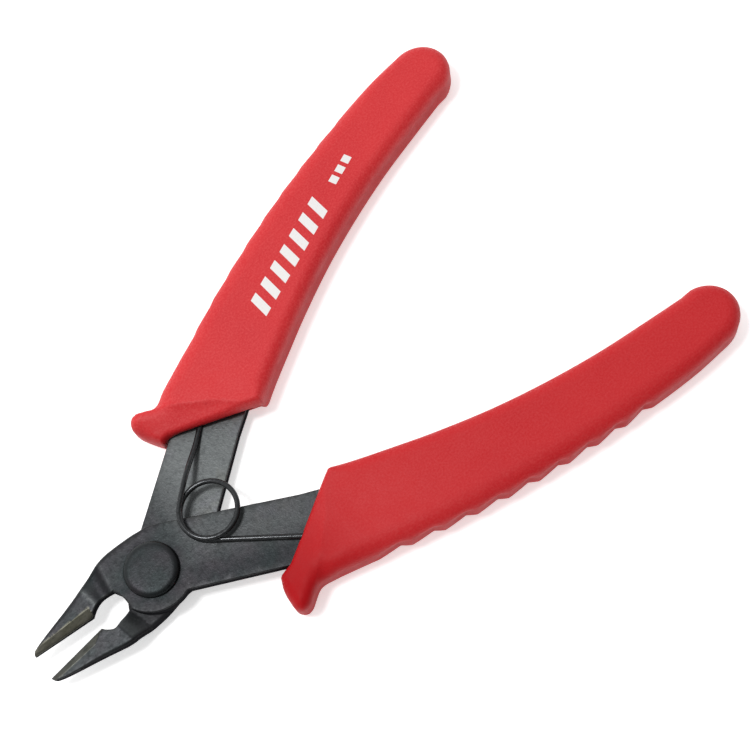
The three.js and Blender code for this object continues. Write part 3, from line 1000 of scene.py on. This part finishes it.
class Nodes:
    """A small hand for wiring a material's nodes."""

    def __init__(self, name):
        self.material = bpy.data.materials.new(name)
        self.material.use_nodes = True
        self.tree = self.material.node_tree
        self.shader = self.tree.nodes["Principled BSDF"]
        self.place = self.add("ShaderNodeTexCoord").outputs["Object"]

    def link(self, source, target):
        """Links a socket, or sets a plain value."""
        if hasattr(source, "is_output"):
            self.tree.links.new(source, target)
        else:
            target.default_value = source

    def add(self, kind, inputs=(), **settings):
        """A new node; inputs gives a value or a socket by the input's name or number."""
        node = self.tree.nodes.new(kind)
        for key, value in settings.items():
            setattr(node, key, value)
        for key, value in dict(inputs).items():
            self.link(value, node.inputs[key])
        return node

    def math(self, operation, a, b=0.0):
        return self.add("ShaderNodeMath", {0: a, 1: b}, operation=operation).outputs[0]

    def times(self, a, b):
        return self.math("MULTIPLY", a, b)

    def minus(self, a, b):
        return self.math("SUBTRACT", a, b)

    def noise(self, size, detail=3.0, rough=0.5):
        """Noise with features of about `size` millimetres."""
        scale = [1 / (size * MM)] * 3
        place = self.add("ShaderNodeMapping", {"Vector": self.place, "Scale": scale}).outputs[0]
        inputs = {"Vector": place, "Scale": 1.0, "Detail": detail, "Roughness": rough}
        return self.add("ShaderNodeTexNoise", inputs).outputs["Fac"]

    def ramp(self, value, low, high, out_low=0.0, out_high=1.0):
        inputs = enumerate((value, low, high, out_low, out_high))
        return self.add("ShaderNodeMapRange", inputs, clamp=True).outputs[0]

    def blotches(self, size, detail=3.0, rough=0.5, low=0.35, high=0.65, most=1.0):
        """Patches of about `size` millimetres, from 0 where the noise is low to `most`."""
        return self.ramp(self.noise(size, detail, rough), low, high, 0.0, most)

    def mix(self, share, a, b):
        a, b = (colour if hasattr(colour, "is_output") else (*colour, 1.0) for colour in (a, b))
        return self.add("ShaderNodeMix", {0: share, 6: a, 7: b}, data_type="RGBA").outputs[2]

    def bump(self, height, distance, normal=None):
        """A bump of the given height in millimetres, on top of another one if that is given."""
        inputs = {"Height": height, "Strength": 1.0, "Distance": distance * MM}
        if normal is not None:
            inputs["Normal"] = normal
        return self.add("ShaderNodeBump", inputs).outputs[0]

    def painted(self, name):
        """A value that paint() gave the mesh."""
        return self.add("ShaderNodeAttribute", attribute_name=name).outputs["Fac"]

    def done(self, inputs):
        """The material, when the shader's inputs are set or linked."""
        for name, value in inputs.items():
            self.link(value, self.shader.inputs[name])
        return self.material


def oxide_steel():
    """Black oxide, darkened in places by painted shade and lightened by painted highlights, with
    ground and worn faces, and painted dark matte shade on upright faces.
    """
    n = Nodes("black_oxide")
    grain = n.noise(0.3, 2.0, 0.6)
    speck = n.noise(0.75, 3.0, 0.7)
    light = n.mix(n.blotches(8.0), (0.102, 0.110, 0.111), (0.111, 0.118, 0.119))
    light = n.mix(n.blotches(4.5, 4.0, 0.6, 0.52, 0.72, 0.4), light, (0.101, 0.096, 0.118))
    light = n.mix(n.blotches(6.0, 3.0, 0.5, 0.56, 0.72, 0.4), light, (0.113, 0.111, 0.092))
    # the oxide's colour under full painted shade
    shade_base = n.mix(n.blotches(5.0), (0.0105, 0.0145, 0.0155), (0.0205, 0.0185, 0.0220))
    tone = n.painted("tone")
    colour = n.mix(tone, light, shade_base)
    ground = n.mix(n.blotches(2.5, 4.0), (0.120, 0.116, 0.080), (0.170, 0.165, 0.130))
    colour = n.mix(n.times(n.painted("ground"), 0.7), colour, ground)
    colour = n.mix(n.ramp(speck, 0.50, 0.72, 0.0, 0.5), colour,
                   n.mix(tone, (0.045, 0.049, 0.052), (0.008, 0.009, 0.010)))
    colour = n.mix(n.ramp(grain, 0.5, 0.75, 0.0, 0.12), colour,
                   n.mix(tone, (0.22, 0.23, 0.23), (0.05, 0.052, 0.054)))
    pits = n.blotches(1.1, 1.0, 0.3, 0.79, 0.83)
    colour = n.mix(n.times(pits, 0.7), colour, (0.02, 0.02, 0.02))
    worn = n.times(n.painted("wear"), n.blotches(1.5, most=0.12))
    colour = n.mix(worn, colour, (0.2, 0.205, 0.2))
    # painted dark matte shade, near black and without reflection
    colour = n.mix(n.painted("wall"), colour, (0.016, 0.016, 0.018))
    face = n.minus(1.0, n.painted("wall"))
    return n.done({
        "Base Color": colour,
        "Metallic": n.times(face, 0.85),
        "Specular IOR Level": n.times(face, 0.5),
        "Roughness": n.ramp(speck, 0.3, 0.7, 0.36, 0.50),
        "Normal": n.bump(grain, 0.02, n.bump(speck, 0.025)),
    })


def wire_steel():
    n = Nodes("dark_wire")
    drawn = n.noise(0.5, 3.0)
    return n.done({
        "Base Color": n.mix(n.ramp(drawn, 0.3, 0.7), (0.030, 0.032, 0.034), (0.050, 0.052, 0.054)),
        "Metallic": 0.8,
        "Roughness": n.ramp(n.noise(2.0), 0.3, 0.7, 0.16, 0.23),
        "Normal": n.bump(drawn, 0.006),
    })


# The printed hatching on the back grip: slanted bars and then dots, measured from its inner end.
MARK_START = (44.4, 21.4)
MARK_ANGLE = math.radians(18.3)
MARK_HALF = 2.0
BARS_END = 24.5
BAR_PITCH, BAR_SHARE = 3.5, 0.5
BAR_SLANT = 0.35
DOTS_START = 27.4
DOTS_END = 34.2
DOT_PITCH, DOT_SHARE = 2.3, 0.65
DOT_HALF = 0.8


def printed_marks(n, grain):
    """The share of white ink: generic bars and dots on the grip's front face."""
    split = n.add("ShaderNodeSeparateXYZ")
    n.link(n.place, split.inputs[0])
    x = n.minus(n.math("DIVIDE", split.outputs[0], MM), MARK_START[0])
    y = n.minus(n.math("DIVIDE", split.outputs[1], MM), MARK_START[1])
    cos, sin = math.cos(MARK_ANGLE), math.sin(MARK_ANGLE)
    u = n.math("ADD", n.times(x, cos), n.times(y, sin))
    v = n.minus(n.times(y, cos), n.times(x, sin))
    lean = n.minus(u, n.times(v, BAR_SLANT))

    def within(value, low, high):
        return n.times(n.math("GREATER_THAN", value, low), n.math("LESS_THAN", value, high))

    def repeated(value, pitch, share):
        return n.math("LESS_THAN", n.math("FRACT", n.math("DIVIDE", value, pitch)), share)

    bars = n.times(within(v, -MARK_HALF, MARK_HALF), within(lean, 0, BARS_END))
    bars = n.times(bars, repeated(lean, BAR_PITCH, BAR_SHARE))
    after = n.minus(u, DOTS_START)
    dots = n.times(within(v, -DOT_HALF, DOT_HALF), within(after, 0, DOTS_END - DOTS_START))
    dots = n.times(dots, repeated(after, DOT_PITCH, DOT_SHARE))
    front = n.math("GREATER_THAN", n.math("DIVIDE", split.outputs[2], MM), GRIP_TOP - 1.0)
    ink = n.times(n.math("MAXIMUM", bars, dots), front)
    return n.times(ink, n.ramp(grain, 0.2, 0.45, 0.75, 1.0))


def red_pvc(name, marked):
    """Dipped red plastic with a fine pale grain, darker and with less sheen where painted shade
    lies.
    """
    n = Nodes(name)
    grain = n.noise(0.35, 4.0, 0.7)
    mottle = n.noise(14.0, 3.0)
    colour = n.mix(n.ramp(mottle, 0.3, 0.7), (0.60, 0.014, 0.020), (0.66, 0.022, 0.026))
    colour = n.mix(n.ramp(grain, 0.42, 0.64, 0.0, 0.42), colour, (0.78, 0.085, 0.085))
    colour = n.mix(n.blotches(1.2, 2.0, 0.4, 0.72, 0.8, 0.35), colour, (0.50, 0.012, 0.02))
    tone = n.painted("tone")
    colour = n.mix(tone, colour, (0.40, 0.003, 0.006))
    rough = n.ramp(n.noise(3.0, 4.0), 0.3, 0.7, 0.46, 0.58)
    if marked:
        colour = n.mix(printed_marks(n, grain), colour, (0.86, 0.84, 0.83))
    return n.done({
        "Base Color": colour,
        "Roughness": rough,
        # less sheen where painted shade lies
        "Specular IOR Level": n.ramp(tone, 0.0, 1.0, 0.32, 0.14),
        "Normal": n.bump(grain, 0.05, n.bump(n.noise(2.5, 3.0), 0.012)),
    })


def pale_floor():
    n = Nodes("floor_white")
    return n.done({
        "Base Color": n.mix(n.noise(2.0, 4.0), (0.93, 0.93, 0.93), (0.95, 0.95, 0.95)),
        "Roughness": 0.9,
        "Specular IOR Level": 0.1,
        "Emission Color": (1.0, 1.0, 1.0, 1.0),
        "Emission Strength": 0.5,
    })


steel = oxide_steel()
for piece, material in (
    (back_arm, steel), (front_arm, steel), (rivet, steel), (spring, wire_steel()),
    (back_grip, red_pvc("red_grip_marked", marked=True)),
    (front_grip, red_pvc("red_grip_plain", marked=False)),
):
    piece.data.materials.clear()
    piece.data.materials.append(material)

# ---- bodies, and the CAD parts hidden --------------------

for piece, node, body, slot in (
    (back_arm, "back_blade_arm", "back_half", "black_oxide_steel"),
    (rivet, "pivot_rivet", "back_half", "black_oxide_steel"),
    (back_grip, "back_grip", "back_half", "red_grip"),
    (front_arm, "front_blade_arm", "front_half", "black_oxide_steel"),
    (front_grip, "front_grip", "front_half", "red_grip"),
):
    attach(piece, body)
    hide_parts(node)

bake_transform(spring)
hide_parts("torsion_spring")

# ---- floor, light, camera --------------------------------

FLOOR_HALF = 1500.0
SKY_BRIGHT_SIDE = (-0.2, 0.98, 0.0)
SKY_MEAN = 0.6
SKY_SWING = 0.56
KEY_PLACE = Vector((-95, 84, 540)) * MM
KEY_AIM = Vector((45, 0, 3)) * MM
KEY_SIZE = 120 * MM
KEY_WATTS = 1.4
CAMERA_PLACE = Vector((8.040, -86.026, 245.188)) * MM
CAMERA_AIM = Vector((50.776, -1.394, 3.4)) * MM
CAMERA_ROLL = math.radians(18.01)
CAMERA_LENS = 71.25
CAMERA_SENSOR = 36.0

corners = [(x * FLOOR_HALF * MM, y * FLOOR_HALF * MM, GRIP_BOTTOM * MM)
           for x, y in ((-1, -1), (1, -1), (1, 1), (-1, 1))]
floor_mesh = bpy.data.meshes.new("floor")
floor_mesh.from_pydata(corners, [], [(0, 1, 2, 3)])
floor = bpy.data.objects.new("floor", floor_mesh)
bpy.context.collection.objects.link(floor)
floor.data.materials.append(pale_floor())


def sky_light():
    """A white sky that is brighter towards one side, as a studio with one large window is."""
    world = bpy.data.worlds.new("studio")
    bpy.context.scene.world = world
    world.use_nodes = True
    nodes, links = world.node_tree.nodes, world.node_tree.links
    sky = nodes["Background"]
    sky.inputs["Color"].default_value = (1.0, 1.0, 1.0, 1.0)
    direction = nodes.new("ShaderNodeTexCoord")
    toward = nodes.new("ShaderNodeVectorMath")
    toward.operation = "DOT_PRODUCT"
    toward.inputs[1].default_value = SKY_BRIGHT_SIDE
    links.new(direction.outputs["Generated"], toward.inputs[0])
    strength = nodes.new("ShaderNodeMapRange")
    limits = (-1.0, 1.0, SKY_MEAN - SKY_SWING, SKY_MEAN + SKY_SWING)
    for socket, value in zip(strength.inputs[1:5], limits):
        socket.default_value = value
    links.new(toward.outputs["Value"], strength.inputs[0])
    links.new(strength.outputs[0], sky.inputs["Strength"])


def key_light():
    light = bpy.data.lights.new("key", "AREA")
    light.shape = "DISK"
    light.size = KEY_SIZE
    light.energy = KEY_WATTS
    holder = bpy.data.objects.new("key", light)
    bpy.context.collection.objects.link(holder)
    holder.location = KEY_PLACE
    holder.rotation_euler = (KEY_AIM - KEY_PLACE).to_track_quat("-Z", "Y").to_euler()


def aim_camera():
    forward = (CAMERA_AIM - CAMERA_PLACE).normalized()
    level_right = forward.cross(Vector((0, 0, 1))).normalized()
    level_up = level_right.cross(forward)
    up = level_up * math.cos(CAMERA_ROLL) + level_right * math.sin(CAMERA_ROLL)
    turned = Matrix((forward.cross(up), up, -forward)).transposed().to_4x4()
    data = bpy.data.cameras.new("camera")
    data.lens = CAMERA_LENS
    data.sensor_width = CAMERA_SENSOR
    data.clip_start = 0.01
    camera = bpy.data.objects.new("camera", data)
    bpy.context.collection.objects.link(camera)
    camera.matrix_world = Matrix.Translation(CAMERA_PLACE) @ turned
    bpy.context.scene.camera = camera


sky_light()
key_light()
aim_camera()
bpy.context.scene.view_settings.view_transform = "Standard"
